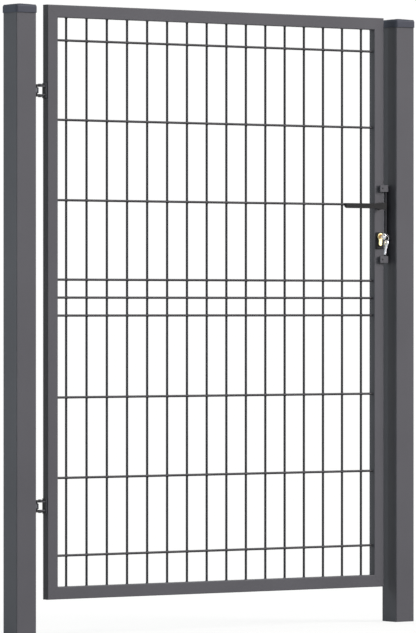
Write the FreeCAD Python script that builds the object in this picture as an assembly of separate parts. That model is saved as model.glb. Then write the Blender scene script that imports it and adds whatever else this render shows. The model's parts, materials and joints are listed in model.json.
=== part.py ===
import FreeCAD, Part
import math
import os

from FreeCAD import Vector

# Single-leaf steel panel gate between two square posts, in millimetres.
# +X runs from the hinge post to the latch post, +Z is up, and -Y is the side with the lever.
# The origin is the centre of the hinge post's foot, at ground level.

# Posts
post_width = 60.0
post_wall = 2.0
post_corner = 3.0
clear_opening = 1136.0

# Plastic caps on the posts
cap_overhang = 2.5
cap_crown = 3.0
cap_skirt = 20.0
cap_edge_round = 4.5
cap_clearance = 0.2

# Leaf frame of rectangular tube
hinge_gap = 47.0
latch_gap = 26.0
ground_gap = 93.0
leaf_height = 1487.0
frame_face = 31.0
frame_depth = 22.0
frame_wall = 2.0
frame_corner = 1.6
sharpest_bore_corner = 0.5

# Welded wire panel
wire_size = 5.5
wire_sides = 8
weld_sink = 0.6
upright_count = 16
first_upright = 34.0
lowest_row = 78.5
highest_row = 56.5
row_gaps = (194.5, 201.5, 205.0, 45.0, 45.0, 199.0, 201.0, 199.0)

# Hinges: a clevis on an adjustable stud holds a bracket on the leaf between two short pins
upper_hinge_from_top = 215.0
lower_hinge_from_bottom = 234.0
axis_from_post = 30.6
strap_thickness = 3.0
clevis_width = 12.0
clevis_half_height = 15.5
clevis_throat = 10.6
clevis_bend = 3.0
arm_gap = 0.3
bracket_width = 16.0
bracket_pad_height = 38.0
bracket_pad_thickness = 4.0
bracket_arm_width = 13.0
pin_radius = 3.0
pin_clearance = 0.08
pin_head_radius = 4.6
pin_head_height = 1.4
pin_head_round = 0.85
press_clearance = 0.02
stud_radius = 6.0
stud_grip = 12.0
stud_clearance = 0.1
nut_across_flats = 18.0
nut_thickness = 8.0
thin_nut_thickness = 5.0

# Lock in the stile
lock_height = 1049.0
case_below_cylinder = 10.5
case_depth = 23.0
case_thickness = 15.0
case_clearance = 0.2
faceplate_height = 200.0
faceplate_width = 19.0
faceplate_thickness = 2.5
faceplate_end_round = 9.0
faceplate_screw_radius = 2.6
faceplate_screw_spacing = 180.0
tongue_width = 10.0
tongue_height = 17.0
tongue_reach = 0.5
tongue_slope = 6.0
tongue_slope_reach = 3.0
deadbolt_width = 9.0
deadbolt_height = 24.0
deadbolt_reach = 0.2
bolt_clearance = 0.3
backset = 15.0

# Profile cylinder with its plug, below the lever
plug_below_lock = 40.0
cylinder_radius = 8.5
cylinder_height = 33.0
cylinder_lobe = 10.0
cylinder_proud = 6.0
cylinder_clearance = 0.3
plug_radius = 6.5
plug_clearance = 0.08
plug_length = 18.4
plug_proud = 0.3
keyway_clearance = 0.15

# Escutcheon round the cylinder, on both sides
escutcheon_width = 24.0
escutcheon_height = 43.5
escutcheon_top_margin = 2.0
escutcheon_thickness = 2.5
escutcheon_corner = 2.0
escutcheon_edge = 0.6

# Lever
lever_above_lock = 39.0
lever_reach = 129.0
lever_stand_off = 21.0
lever_hub_height = 18.0
lever_grip_height = 13.0
lever_thickness = 9.0
lever_taper_length = 26.0
lever_tip_round = 5.5
lever_edge_round = 2.6
neck_radius = 6.5
rosette_radius = 9.4
rosette_thickness = 3.0
rosette_edge = 0.8
rosette_clearance = 0.3
spindle_size = 8.0
spindle_clearance = 0.4
spindle_hole_radius = 6.2
blank_thickness = 2.0

# Keep on the latch post: a folded plate with two stop ears
keep_below_lock = 7.5
keep_length = 203.0
keep_thickness = 4.0
keep_gap = 8.0
keep_bend = 6.0
web_lip = 2.2
web_back = 14.0
ear_height = 17.5
ear_width = 29.3
ear_gap = 3.7
slot_margin = 3.0
slot_side = 0.8
slot_corner = 2.0
buffer_radius = 4.0
buffer_stem_radius = 2.2
buffer_from_ear_end = 8.0
buffer_gap = 0.3
stem_clearance = 0.05
stem_proud = 0.4

# Keys
key_thickness = 2.0
bow_radius = 8.25
bow_hole_radius = 2.8
bow_hole_from_end = 4.6
shoulder_width = 10.0
shoulder_length = 4.5
blade_width = 7.0
blade_length = 18.5
tooth_pitch = 3.0
tooth_depths = (1.0, 1.6, 1.3, 1.0, 1.6)
key_seat_gap = 1.0
ring_radius = 7.2
ring_wire_radius = 0.55
ring_hang_gap = 0.1

# Working values: how far a cutting shape runs past a face, and how near counts as touching
cut_margin = 1.0
touch = 0.01

# Places that follow from the sizes above
post_half = post_width / 2
latch_post_x = post_width + clear_opening
post_height = ground_gap + leaf_height - cap_crown
leaf_left = post_half + hinge_gap
leaf_right = latch_post_x - post_half - latch_gap
leaf_bottom = ground_gap
leaf_top = ground_gap + leaf_height
leaf_front = -frame_depth / 2
leaf_back = frame_depth / 2
inner_left = leaf_left + frame_face
inner_right = leaf_right - frame_face
inner_bottom = leaf_bottom + frame_face
inner_top = leaf_top - frame_face
hinge_axis_x = post_half + axis_from_post
upper_hinge_height = leaf_top - upper_hinge_from_top
lower_hinge_height = leaf_bottom + lower_hinge_from_bottom
lock_axis_x = leaf_right - backset
lever_height = lock_height + lever_above_lock
plug_height = lock_height - plug_below_lock
cylinder_bottom = plug_height + cylinder_radius - cylinder_height
case_height = 2 * (lock_height - cylinder_bottom + case_below_cylinder)
keep_height = lock_height - keep_below_lock
faceplate_outside = leaf_right + faceplate_thickness
rosette_front = leaf_front - rosette_thickness
lever_plane = leaf_front - lever_stand_off
web_front = -tongue_width / 2 - slot_side - web_lip


def box(x0, x1, y0, y1, z0, z1):
    """A block between two corners."""
    return Part.makeBox(x1 - x0, y1 - y0, z1 - z0, Vector(x0, y0, z0))


def rod(radius, start, end):
    """A round bar from one point to another."""
    axis = end - start
    return Part.makeCylinder(radius, axis.Length, start, axis)


def rounded_block(width, depth, height, radius):
    """An upright block centred on the Z axis, with its upright corners rounded."""
    block = box(-width / 2, width / 2, -depth / 2, depth / 2, 0, height)
    upright = [e for e in block.Edges if abs(e.tangentAt(e.FirstParameter).z) > 0.9]
    return block.makeFillet(radius, upright)


def rounded_tube(width, depth, wall, corner, length):
    """An upright tube centred on the Z axis; the bore's corner radius follows the wall."""
    outside = rounded_block(width, depth, length, corner)
    bore_corner = max(corner - wall, sharpest_bore_corner)
    bore = rounded_block(width - 2 * wall, depth - 2 * wall, length, bore_corner)
    return outside.cut(bore)


def prism(points, direction):
    """A flat outline pushed along a direction."""
    return Part.Face(Part.makePolygon(points + points[:1])).extrude(direction)


def edges_where(shape, test):
    """The edges whose centre of mass passes a test."""
    return [e for e in shape.Edges if test(e.CenterOfMass)]


def save(name, shape):
    """One file a piece; a fused piece loses its seams first."""
    solids = [s.removeSplitter() for s in shape.Solids]
    whole = solids[0] if len(solids) == 1 else Part.makeCompound(solids)
    whole.exportStep(os.path.join("parts", name + ".step"))


def make_post(centre_x):
    """A square tube, open at its foot."""
    post = rounded_tube(post_width, post_width, post_wall, post_corner, post_height)
    post.translate(Vector(centre_x, 0, 0))
    return post


def make_hinge_post():
    """The hinge post, drilled for the two studs."""
    post = make_post(0)
    for height in (upper_hinge_height, lower_hinge_height):
        inside = Vector(post_half - 2 * post_wall, 0, height)
        outside = Vector(post_half + post_wall, 0, height)
        post = post.cut(rod(stud_radius + stud_clearance, inside, outside))
    return post


def make_cap(centre_x):
    """A moulded cap: a skirt round the tube under a top with rounded edges."""
    width = post_width + 2 * cap_overhang
    height = cap_skirt + cap_crown
    cap = rounded_block(width, width, height, post_corner + cap_overhang)
    cap = cap.makeFillet(cap_edge_round, edges_where(cap, lambda c: c.z > height - touch))
    cavity_width = post_width + 2 * cap_clearance
    cavity = rounded_block(cavity_width, cavity_width, cap_skirt, post_corner + cap_clearance)
    cap = cap.cut(cavity)
    cap.translate(Vector(centre_x, 0, post_height - cap_skirt))
    return cap


def make_upright(left, mitre_inwards):
    """A stile: upright tube with both ends mitred at 45 degrees towards the leaf's middle."""
    tube = rounded_tube(frame_face, frame_depth, frame_wall, frame_corner, leaf_height)
    tube.translate(Vector(left + frame_face / 2, 0, leaf_bottom))
    outer_x = left if mitre_inwards > 0 else left + frame_face
    inner_x = outer_x + mitre_inwards * frame_face
    deep = frame_depth
    for end, inward in ((leaf_bottom, 1), (leaf_top, -1)):
        wedge = prism(
            [
                Vector(outer_x, -deep, end),
                Vector(inner_x, -deep, end + inward * frame_face),
                Vector(inner_x, -deep, end),
            ],
            Vector(0, 2 * deep, 0),
        )
        tube = tube.cut(wedge)
    return tube


def make_rail(bottom, mitre_upwards):
    """A rail: level tube with both ends mitred to meet the stiles."""
    leaf_width = leaf_right - leaf_left
    tube = rounded_tube(frame_face, frame_depth, frame_wall, frame_corner, leaf_width)
    tube.rotate(Vector(0, 0, 0), Vector(0, 1, 0), 90)
    tube.translate(Vector(leaf_left, 0, bottom + frame_face / 2))
    outer_z = bottom if mitre_upwards > 0 else bottom + frame_face
    inner_z = outer_z + mitre_upwards * frame_face
    deep = frame_depth
    for end, inward in ((leaf_left, 1), (leaf_right, -1)):
        wedge = prism(
            [
                Vector(end, -deep, outer_z),
                Vector(end + inward * frame_face, -deep, inner_z),
                Vector(end, -deep, inner_z),
            ],
            Vector(0, 2 * deep, 0),
        )
        tube = tube.cut(wedge)
    return tube


def wire(start, end):
    """A straight wire of few sides, with a flat side square to Y."""
    axis = end - start
    sideways = Vector(0, 1, 0).cross(axis).normalize()
    corner_radius = wire_size / 2 / math.cos(math.pi / wire_sides)
    points = []
    for i in range(wire_sides):
        angle = 2 * math.pi * (i + 0.5) / wire_sides
        points.append(
            start
            + Vector(0, corner_radius * math.cos(angle), 0)
            + sideways * (corner_radius * math.sin(angle))
        )
    return prism(points, axis)


def make_mesh_panel():
    """Uprights behind, rows in front, fused at each weld, ending on the frame's inner faces."""
    offset = (wire_size - weld_sink) / 2
    upright_span = inner_right - inner_left - 2 * first_upright
    wires = []
    for i in range(upright_count):
        x = inner_left + first_upright + upright_span * i / (upright_count - 1)
        wires.append(wire(Vector(x, offset, inner_bottom), Vector(x, offset, inner_top)))
    row_span = inner_top - inner_bottom - lowest_row - highest_row
    z = inner_bottom + lowest_row
    for gap in row_gaps + (0.0,):
        wires.append(wire(Vector(inner_left, -offset, z), Vector(inner_right, -offset, z)))
        z += gap * row_span / sum(row_gaps)
    return wires[0].fuse(wires[1:])


def arm_plate(axis_x, root_x, width, bottom):
    """A flat arm from its root to a rounded end about the hinge axis."""
    low, high = sorted((root_x, axis_x))
    arm = box(low, high, -width / 2, width / 2, bottom, bottom + strap_thickness)
    end = rod(
        width / 2,
        Vector(axis_x, 0, bottom),
        Vector(axis_x, 0, bottom + strap_thickness),
    )
    return arm.fuse(end)


def make_hinge_clevis(height):
    """The post's half: a bent strap welded to a stud that screws into the post."""
    web_right = hinge_axis_x - clevis_throat
    web_left = web_right - strap_thickness
    half = clevis_half_height
    clevis = box(web_left, web_right, -clevis_width / 2, clevis_width / 2, -half, half)
    for bottom in (-half, half - strap_thickness):
        clevis = clevis.fuse(arm_plate(hinge_axis_x, web_left, clevis_width, bottom))
    clevis = clevis.removeSplitter()
    bends = edges_where(
        clevis, lambda c: abs(c.x - web_left) < touch and abs(abs(c.z) - half) < touch
    )
    clevis = clevis.makeFillet(clevis_bend, bends)
    stud = rod(
        stud_radius,
        Vector(post_half - stud_grip, 0, 0),
        Vector(web_left, 0, 0),
    )
    clevis = clevis.fuse(stud)
    bore = rod(
        pin_radius + press_clearance,
        Vector(hinge_axis_x, 0, -2 * half),
        Vector(hinge_axis_x, 0, 2 * half),
    )
    clevis = clevis.cut(bore)
    clevis.translate(Vector(0, 0, height))
    return clevis


def hex_nut(left, thickness):
    """A six-sided nut on the stud, with flats facing front and back."""
    corner = nut_across_flats / 2 / math.cos(math.pi / 6)
    points = [
        Vector(left, corner * math.sin(math.pi * i / 3), corner * math.cos(math.pi * i / 3))
        for i in range(6)
    ]
    nut = prism(points, Vector(thickness, 0, 0))
    bore = rod(
        stud_radius + stud_clearance,
        Vector(left - thickness, 0, 0),
        Vector(left + 2 * thickness, 0, 0),
    )
    return nut.cut(bore)


def make_hinge_nuts(height):
    """A thin nut against the post and a full nut against the clevis."""
    web_left = hinge_axis_x - clevis_throat - strap_thickness
    nuts = Part.makeCompound(
        [
            hex_nut(post_half, thin_nut_thickness),
            hex_nut(web_left - nut_thickness, nut_thickness),
        ]
    )
    nuts.translate(Vector(0, 0, height))
    return nuts


def make_hinge_pins(height):
    """Two short rivets, one at each arm, so that the middle of the hinge stays open."""
    outside = clevis_half_height
    arm_inside = outside - 2 * strap_thickness - arm_gap
    pins = []
    for side in (-1, 1):
        shank = rod(
            pin_radius,
            Vector(hinge_axis_x, 0, side * arm_inside),
            Vector(hinge_axis_x, 0, side * outside),
        )
        head = rod(
            pin_head_radius,
            Vector(hinge_axis_x, 0, side * outside),
            Vector(hinge_axis_x, 0, side * (outside + pin_head_height)),
        )
        rim_z = side * (outside + pin_head_height)
        head = head.makeFillet(
            pin_head_round, edges_where(head, lambda c: abs(c.z - rim_z) < touch)
        )
        pins.append(shank.fuse(head))
    pins = Part.makeCompound(pins)
    pins.translate(Vector(0, 0, height))
    return pins


def make_hinge_bracket(height):
    """The leaf's half: two arms on a pad welded to the stile."""
    pad_left = leaf_left - bracket_pad_thickness
    half_pad = bracket_pad_height / 2
    bracket = box(
        pad_left, leaf_left, -bracket_width / 2, bracket_width / 2, -half_pad, half_pad
    )
    arm_top = clevis_half_height - strap_thickness - arm_gap
    for bottom in (-arm_top, arm_top - strap_thickness):
        bracket = bracket.fuse(arm_plate(hinge_axis_x, leaf_left, bracket_arm_width, bottom))
    bore = rod(
        pin_radius + pin_clearance,
        Vector(hinge_axis_x, 0, -half_pad),
        Vector(hinge_axis_x, 0, half_pad),
    )
    bracket = bracket.cut(bore)
    bracket.translate(Vector(0, 0, height))
    return bracket


def cylinder_profile(grow, front, back):
    """The round-and-lobe section of a profile cylinder, pushed through the leaf."""
    radius = cylinder_radius + grow
    half_lobe = cylinder_lobe / 2 + grow
    lobe_centre_z = cylinder_bottom + cylinder_lobe / 2
    barrel = rod(
        radius, Vector(lock_axis_x, front, plug_height), Vector(lock_axis_x, back, plug_height)
    )
    lobe = box(
        lock_axis_x - half_lobe,
        lock_axis_x + half_lobe,
        front,
        back,
        lobe_centre_z,
        plug_height,
    )
    toe = rod(
        half_lobe,
        Vector(lock_axis_x, front, lobe_centre_z),
        Vector(lock_axis_x, back, lobe_centre_z),
    )
    return barrel.fuse([lobe, toe]).removeSplitter()


def make_lock_stile():
    """The stile at the lock: open at its edge for the case and through both faces."""
    stile = make_upright(inner_right, -1)
    half_case = case_height / 2 + case_clearance
    half_thick = case_thickness / 2 + case_clearance
    stile = stile.cut(
        box(
            leaf_right - 2 * frame_wall,
            leaf_right + frame_wall,
            -half_thick,
            half_thick,
            lock_height - half_case,
            lock_height + half_case,
        )
    )
    deep = frame_depth
    stile = stile.cut(cylinder_profile(cylinder_clearance, -deep, deep))
    spindle_hole = rod(
        spindle_hole_radius,
        Vector(lock_axis_x, -deep, lever_height),
        Vector(lock_axis_x, deep, lever_height),
    )
    return stile.cut(spindle_hole)


def make_lock_case():
    """The closed case behind the faceplate, with its through holes and bolt pockets."""
    half_thick = case_thickness / 2
    case = box(
        leaf_right - case_depth,
        leaf_right,
        -half_thick,
        half_thick,
        lock_height - case_height / 2,
        lock_height + case_height / 2,
    )
    case = case.cut(cylinder_profile(cylinder_clearance, -frame_depth, frame_depth))
    case = case.cut(
        rod(
            spindle_hole_radius,
            Vector(lock_axis_x, -frame_depth, lever_height),
            Vector(lock_axis_x, frame_depth, lever_height),
        )
    )
    case = case.cut(bolt_block(tongue_width, tongue_height, lever_height, bolt_clearance))
    return case.cut(bolt_block(deadbolt_width, deadbolt_height, deadbolt_centre(), bolt_clearance))


def deadbolt_centre():
    """The deadbolt stands midway between the lever and the plug."""
    return (lever_height + plug_height) / 2


def bolt_depth():
    """Bolts reach from the faceplate to just short of the spindle's hole."""
    return backset - spindle_hole_radius - 2 * bolt_clearance


def bolt_block(width, height, centre_z, grow):
    """The room of one bolt behind and through the faceplate."""
    return box(
        leaf_right - bolt_depth() - grow,
        faceplate_outside + faceplate_thickness,
        -width / 2 - grow,
        width / 2 + grow,
        centre_z - height / 2 - grow,
        centre_z + height / 2 + grow,
    )


def make_faceplate():
    """The strip on the stile's edge, with rounded ends and holes for both bolts and screws."""
    plate = rounded_block(
        faceplate_height, faceplate_width, faceplate_thickness, faceplate_end_round
    )
    for side in (-1, 1):
        x = side * faceplate_screw_spacing / 2
        hole = rod(
            faceplate_screw_radius,
            Vector(x, 0, -faceplate_thickness),
            Vector(x, 0, 2 * faceplate_thickness),
        )
        plate = plate.cut(hole)
    plate.rotate(Vector(0, 0, 0), Vector(0, 1, 0), 90)
    plate.translate(Vector(leaf_right, 0, lock_height))
    plate = plate.cut(bolt_block(tongue_width, tongue_height, lever_height, bolt_clearance))
    return plate.cut(bolt_block(deadbolt_width, deadbolt_height, deadbolt_centre(), bolt_clearance))


def make_latch_tongue():
    """The sprung tongue, drawn back, with its nose sloped on the side that meets the keep."""
    nose = faceplate_outside + tongue_reach
    half = tongue_width / 2
    root = leaf_right - bolt_depth()
    low = lever_height - tongue_height / 2
    outline = [
        Vector(root, -half, low),
        Vector(nose, -half, low),
        Vector(nose, half - tongue_slope, low),
        Vector(nose - tongue_slope_reach, half, low),
        Vector(root, half, low),
    ]
    return prism(outline, Vector(0, 0, tongue_height))


def make_deadbolt():
    """The square bolt, drawn back level with the faceplate."""
    low = deadbolt_centre() - deadbolt_height / 2
    return box(
        leaf_right - bolt_depth(),
        faceplate_outside + deadbolt_reach,
        -deadbolt_width / 2,
        deadbolt_width / 2,
        low,
        low + deadbolt_height,
    )


def make_escutcheon(side):
    """A plate with rounded corners round the cylinder; side -1 is the front, +1 the back."""
    plate = rounded_block(
        escutcheon_width, escutcheon_height, escutcheon_thickness, escutcheon_corner
    )
    top = escutcheon_thickness
    plate = plate.makeChamfer(
        escutcheon_edge, edges_where(plate, lambda c: abs(c.z - top) < touch)
    )
    plate.rotate(Vector(0, 0, 0), Vector(1, 0, 0), -90 * side)
    face = leaf_front if side < 0 else leaf_back
    top_z = plug_height + cylinder_radius + escutcheon_top_margin
    plate.translate(Vector(lock_axis_x, face, top_z - escutcheon_height / 2))
    return plate.cut(cylinder_profile(cylinder_clearance / 2, -2 * frame_depth, 2 * frame_depth))


def make_cylinder():
    """The profile cylinder, bored from the front for its plug."""
    front = leaf_front - cylinder_proud
    body = cylinder_profile(0, front, leaf_back + cylinder_proud)
    bore = rod(
        plug_radius + plug_clearance,
        Vector(lock_axis_x, front - cut_margin, plug_height),
        Vector(lock_axis_x, front - plug_proud + plug_length + plug_clearance, plug_height),
    )
    return body.cut(bore)


def make_plug():
    """The turning plug, slotted for the key."""
    front = leaf_front - cylinder_proud - plug_proud
    plug = rod(
        plug_radius,
        Vector(lock_axis_x, front, plug_height),
        Vector(lock_axis_x, front + plug_length, plug_height),
    )
    half_slot = key_thickness / 2 + keyway_clearance
    half_high = blade_width / 2 + keyway_clearance
    depth = blade_length - key_seat_gap + keyway_clearance
    slot = box(
        lock_axis_x - half_slot,
        lock_axis_x + half_slot,
        front - cut_margin,
        front + depth,
        plug_height - half_high,
        plug_height + half_high,
    )
    return plug.cut(slot)


def make_flat_key():
    """A key lying along +Y from the far end of its bow, flat in the YZ plane at x = 0."""
    half = key_thickness / 2
    bow = rod(bow_radius, Vector(-half, bow_radius, 0), Vector(half, bow_radius, 0))
    shoulder_end = 2 * bow_radius + shoulder_length
    shoulder = box(
        -half, half, bow_radius, shoulder_end, -shoulder_width / 2, shoulder_width / 2
    )
    tip = shoulder_end + blade_length
    half_blade = blade_width / 2
    blade = prism(
        [
            Vector(-half, shoulder_end, -half_blade),
            Vector(-half, tip - half_blade, -half_blade),
            Vector(-half, tip, 0),
            Vector(-half, tip - half_blade / 2, half_blade),
            Vector(-half, shoulder_end, half_blade),
        ],
        Vector(key_thickness, 0, 0),
    )
    key = bow.fuse([shoulder, blade]).removeSplitter()
    for i, depth in enumerate(tooth_depths):
        y = shoulder_end + tooth_pitch * (i + 0.5)
        notch = prism(
            [
                Vector(-key_thickness, y, -half_blade),
                Vector(-key_thickness, y + tooth_pitch, -half_blade),
                Vector(-key_thickness, y + tooth_pitch / 2, -half_blade + depth),
            ],
            Vector(2 * key_thickness, 0, 0),
        )
        key = key.cut(notch)
    hole = rod(
        bow_hole_radius,
        Vector(-key_thickness, bow_hole_from_end, 0),
        Vector(key_thickness, bow_hole_from_end, 0),
    )
    return key.cut(hole)


def key_bow_end():
    """Where the inserted key's bow ends in front of the plug."""
    plug_face = leaf_front - cylinder_proud - plug_proud
    return plug_face - key_seat_gap - shoulder_length - 2 * bow_radius


def make_key():
    """The key in the plug, its bow upright."""
    key = make_flat_key()
    key.translate(Vector(lock_axis_x, key_bow_end(), plug_height))
    return key


def ring_centre():
    """The ring leans at 45 degrees from the bow's hole, so that the key can turn through it."""
    lean = ring_radius / math.sqrt(2)
    return Vector(
        lock_axis_x + lean, key_bow_end() + bow_hole_from_end, plug_height - lean
    )


def make_key_ring():
    """The ring that joins the two keys."""
    return Part.makeTorus(ring_radius, ring_wire_radius, ring_centre(), Vector(0, 1, 0))


def make_spare_key():
    """The second key, hanging from the bottom of the ring."""
    key = make_flat_key()
    key.rotate(Vector(0, 0, 0), Vector(1, 0, 0), -90)
    centre = ring_centre()
    wire_rise = ring_radius - math.sqrt(ring_radius**2 - (key_thickness / 2) ** 2)
    hole_top = centre.z - ring_radius + ring_wire_radius + wire_rise + ring_hang_gap
    hole_centre_z = hole_top - bow_hole_radius
    key.translate(Vector(centre.x, centre.y, hole_centre_z + bow_hole_from_end))
    return key


def make_rosette():
    """The round seat under the lever's neck."""
    rosette = rod(
        rosette_radius,
        Vector(lock_axis_x, leaf_front, lever_height),
        Vector(lock_axis_x, rosette_front, lever_height),
    )
    rosette = rosette.makeFillet(
        rosette_edge, edges_where(rosette, lambda c: abs(c.y - rosette_front) < touch)
    )
    bore = rod(
        neck_radius + spindle_clearance,
        Vector(lock_axis_x, rosette_front - cut_margin, lever_height),
        Vector(lock_axis_x, leaf_front + cut_margin, lever_height),
    )
    return rosette.cut(bore)


def make_spindle_blank():
    """The blank disc that closes the spindle's hole on the back, where there is no lever."""
    disc = rod(
        rosette_radius,
        Vector(lock_axis_x, leaf_back, lever_height),
        Vector(lock_axis_x, leaf_back + blank_thickness, lever_height),
    )
    rim = leaf_back + blank_thickness
    return disc.makeFillet(rosette_edge, edges_where(disc, lambda c: abs(c.y - rim) < touch))


def make_lever():
    """The lever: a grip tapered from its hub, on a round neck that enters the rosette."""
    hub = lever_hub_height / 2
    grip = lever_grip_height / 2
    taper_x = -lever_taper_length
    tip_x = -lever_reach
    outline = Part.Wire(
        [
            Part.Arc(Vector(0, 0, hub), Vector(hub, 0, 0), Vector(0, 0, -hub)).toShape(),
            Part.LineSegment(Vector(0, 0, -hub), Vector(taper_x, 0, -grip)).toShape(),
            Part.LineSegment(Vector(taper_x, 0, -grip), Vector(tip_x, 0, -grip)).toShape(),
            Part.LineSegment(Vector(tip_x, 0, -grip), Vector(tip_x, 0, grip)).toShape(),
            Part.LineSegment(Vector(tip_x, 0, grip), Vector(taper_x, 0, grip)).toShape(),
            Part.LineSegment(Vector(taper_x, 0, grip), Vector(0, 0, hub)).toShape(),
        ]
    )
    arm = Part.Face(outline).extrude(Vector(0, lever_thickness, 0))
    tip_edges = edges_where(
        arm, lambda c: abs(c.x - tip_x) < touch and abs(abs(c.z) - grip) < touch
    )
    arm = arm.makeFillet(lever_tip_round, tip_edges)
    rims = edges_where(arm, lambda c: min(abs(c.y), abs(c.y - lever_thickness)) < touch)
    arm = arm.makeFillet(lever_edge_round, rims)
    arm.translate(Vector(lock_axis_x, lever_plane - lever_thickness / 2, lever_height))
    neck = rod(
        neck_radius,
        Vector(lock_axis_x, lever_plane, lever_height),
        Vector(lock_axis_x, leaf_front - rosette_clearance, lever_height),
    )
    return arm.fuse(neck)


def make_spindle():
    """The square bar that carries the lever's turn into the lock."""
    half = spindle_size / 2
    return box(
        lock_axis_x - half,
        lock_axis_x + half,
        leaf_front - rosette_clearance,
        leaf_back - rosette_clearance,
        lever_height - half,
        lever_height + half,
    )


def ear_places():
    """The lower edge of each stop ear."""
    bottom = keep_height - keep_length / 2
    return bottom, bottom + keep_length - ear_height


def make_keep():
    """A folded plate: a slotted web beside the leaf, a flange back to the post and two ears."""
    web_left = leaf_right + keep_gap
    web_right = web_left + keep_thickness
    bottom = keep_height - keep_length / 2
    top = bottom + keep_length
    post_face = latch_post_x - post_half
    ear_back = leaf_front - ear_gap
    ear_front = ear_back - keep_thickness
    inner_bend = keep_bend - keep_thickness
    section = box(web_left, web_right, ear_front, web_back, bottom, top)
    section = section.fuse(
        [
            box(web_right - ear_width, web_right, ear_front, ear_back, bottom, top),
            box(web_left, post_face, web_back - keep_thickness, web_back, bottom, top),
        ]
    ).removeSplitter()
    for radius, x, y in (
        (keep_bend, web_right, ear_front),
        (keep_bend, web_left, web_back),
        (inner_bend, web_left, ear_back),
        (inner_bend, web_right, web_back - keep_thickness),
    ):
        fold = edges_where(section, lambda c: math.hypot(c.x - x, c.y - y) < touch)
        section = section.makeFillet(radius, fold)
    lower_ear, upper_ear = ear_places()
    between = box(
        web_right - ear_width - cut_margin,
        web_right + cut_margin,
        ear_front - cut_margin,
        web_front,
        lower_ear + ear_height,
        upper_ear,
    )
    keep = section.cut(between)
    for width, height, centre_z in bolt_slots():
        slot = rounded_block(height, width, 3 * keep_thickness, slot_corner)
        slot.rotate(Vector(0, 0, 0), Vector(0, 1, 0), 90)
        slot.translate(Vector(web_left - keep_thickness, 0, centre_z))
        keep = keep.cut(slot)
    for x, z in buffer_places():
        hole = rod(
            buffer_stem_radius + stem_clearance,
            Vector(x, ear_front - cut_margin, z),
            Vector(x, ear_back + cut_margin, z),
        )
        keep = keep.cut(hole)
    return keep


def bolt_slots():
    """Width, height and centre of the keep's slots for the tongue and the deadbolt."""
    return [
        (width + 2 * slot_side, height + 2 * slot_margin, centre_z)
        for width, height, centre_z in (
            (tongue_width, tongue_height, lever_height),
            (deadbolt_width, deadbolt_height, deadbolt_centre()),
        )
    ]


def buffer_places():
    """The X and Z of each rubber buffer."""
    x = leaf_right + keep_gap + keep_thickness - ear_width + buffer_from_ear_end
    return [(x, low + ear_height / 2) for low in ear_places()]


def make_buffers():
    """Rubber buffers that the closed leaf rests on, each with a stem through its ear."""
    ear_back = leaf_front - ear_gap
    ear_front = ear_back - keep_thickness
    buffers = []
    for x, z in buffer_places():
        pad = rod(buffer_radius, Vector(x, ear_back, z), Vector(x, leaf_front - buffer_gap, z))
        stem = rod(
            buffer_stem_radius, Vector(x, ear_front - stem_proud, z), Vector(x, ear_back, z)
        )
        buffers.append(pad.fuse(stem))
    return Part.makeCompound(buffers)


os.makedirs("parts", exist_ok=True)

save("hinge_post", make_hinge_post())
save("latch_post", make_post(latch_post_x))
save("hinge_post_cap", make_cap(0))
save("latch_post_cap", make_cap(latch_post_x))

save("hinge_stile", make_upright(leaf_left, 1))
save("lock_stile", make_lock_stile())
save("bottom_rail", make_rail(leaf_bottom, 1))
save("top_rail", make_rail(inner_top, -1))
save("mesh_panel", make_mesh_panel())

for place, height in (("upper", upper_hinge_height), ("lower", lower_hinge_height)):
    save(place + "_hinge_clevis", make_hinge_clevis(height))
    save(place + "_hinge_nuts", make_hinge_nuts(height))
    save(place + "_hinge_pins", make_hinge_pins(height))
    save(place + "_hinge_bracket", make_hinge_bracket(height))

save("lock_case", make_lock_case())
save("lock_faceplate", make_faceplate())
save("latch_tongue", make_latch_tongue())
save("deadbolt", make_deadbolt())
save("front_escutcheon", make_escutcheon(-1))
save("back_escutcheon", make_escutcheon(1))
save("lock_cylinder", make_cylinder())
save("lock_plug", make_plug())
save("key", make_key())
save("key_ring", make_key_ring())
save("spare_key", make_spare_key())

save("lever_rosette", make_rosette())
save("spindle_blank", make_spindle_blank())
save("lever_handle", make_lever())
save("lever_spindle", make_spindle())

save("latch_keep", make_keep())
save("keep_buffers", make_buffers())
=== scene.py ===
import json
import math

import bmesh
import bpy
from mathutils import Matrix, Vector


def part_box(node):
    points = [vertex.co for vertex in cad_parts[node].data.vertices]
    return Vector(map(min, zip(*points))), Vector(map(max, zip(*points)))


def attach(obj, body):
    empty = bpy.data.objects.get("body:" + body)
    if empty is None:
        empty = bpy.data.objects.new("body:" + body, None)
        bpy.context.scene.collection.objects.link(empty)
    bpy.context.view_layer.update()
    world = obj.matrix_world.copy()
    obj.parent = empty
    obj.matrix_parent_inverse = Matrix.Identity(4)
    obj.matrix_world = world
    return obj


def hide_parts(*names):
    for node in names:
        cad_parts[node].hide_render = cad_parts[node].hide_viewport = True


# Steel panel gate between two posts. Sizes in the dictionaries are millimetres,
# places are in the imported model's frame: x to the latch post, z up, -y towards the lever's side.
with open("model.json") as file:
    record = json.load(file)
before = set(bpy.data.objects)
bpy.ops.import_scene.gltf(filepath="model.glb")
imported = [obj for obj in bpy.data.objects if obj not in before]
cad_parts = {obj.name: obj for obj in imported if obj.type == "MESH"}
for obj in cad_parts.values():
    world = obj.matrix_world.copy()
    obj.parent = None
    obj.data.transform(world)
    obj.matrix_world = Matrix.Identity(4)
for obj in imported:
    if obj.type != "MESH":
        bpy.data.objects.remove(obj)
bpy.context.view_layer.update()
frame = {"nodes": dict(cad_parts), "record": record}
mm = 0.001
metre = 1000   # mm, because a pattern's scale is in waves to the metre
near = 0.1     # mm, how close to its place an edge or a face is picked
print("frame loaded:", len(frame["nodes"]), "nodes")


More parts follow.
